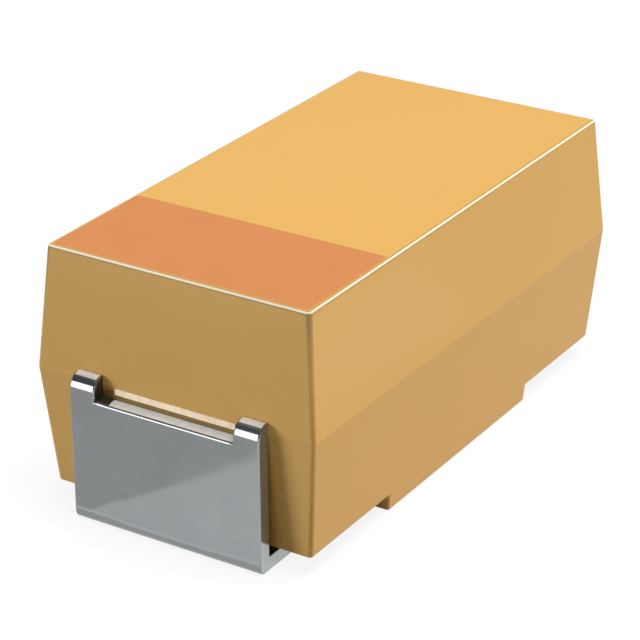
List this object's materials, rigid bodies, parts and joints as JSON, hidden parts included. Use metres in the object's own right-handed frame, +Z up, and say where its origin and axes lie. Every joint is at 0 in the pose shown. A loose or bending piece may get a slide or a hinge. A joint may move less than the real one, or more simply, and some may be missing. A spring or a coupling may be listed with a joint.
{
  "type": "tantalum capacitor",
  "caption": "Moulded surface-mount tantalum capacitor: golden resin case with a polarity band and a folded sheet terminal at each end.",
  "frame": {"origin": "centre of the seating plane, under the middle of the case", "axes": "+X from the anode (banded) end to the cathode end, +Y across the case, +Z up from the circuit board"},
  "size_m": [0.006, 0.003, 0.0026],
  "materials": {
    "resin_case": "smooth moulded epoxy, slightly glossy",
    "stripe_ink": "printed orange ink",
    "terminal_plate": "bright tin plate on folded sheet",
    "tantalum_wire": "drawn wire",
    "sintered_tantalum": "porous sintered metal",
    "manganese_dioxide": "matt black-brown oxide",
    "graphite": "matt carbon coat",
    "silver_paint": "fine-grained silver paint",
    "silver_bond": "cured silver-filled epoxy",
    "washer_plastic": "white fluoroplastic"
  },
  "bodies": {
    "root": {"molded_case": "resin_case", "polarity_stripe": "stripe_ink", "anode_terminal": "terminal_plate", "cathode_terminal": "terminal_plate", "riser_wire": "tantalum_wire", "tantalum_pellet": "sintered_tantalum", "manganese_dioxide_layer": "manganese_dioxide", "graphite_layer": "graphite", "silver_layer": "silver_paint", "silver_adhesive": "silver_bond", "insulating_washer": "washer_plastic"}
  },
  "joints": []
}
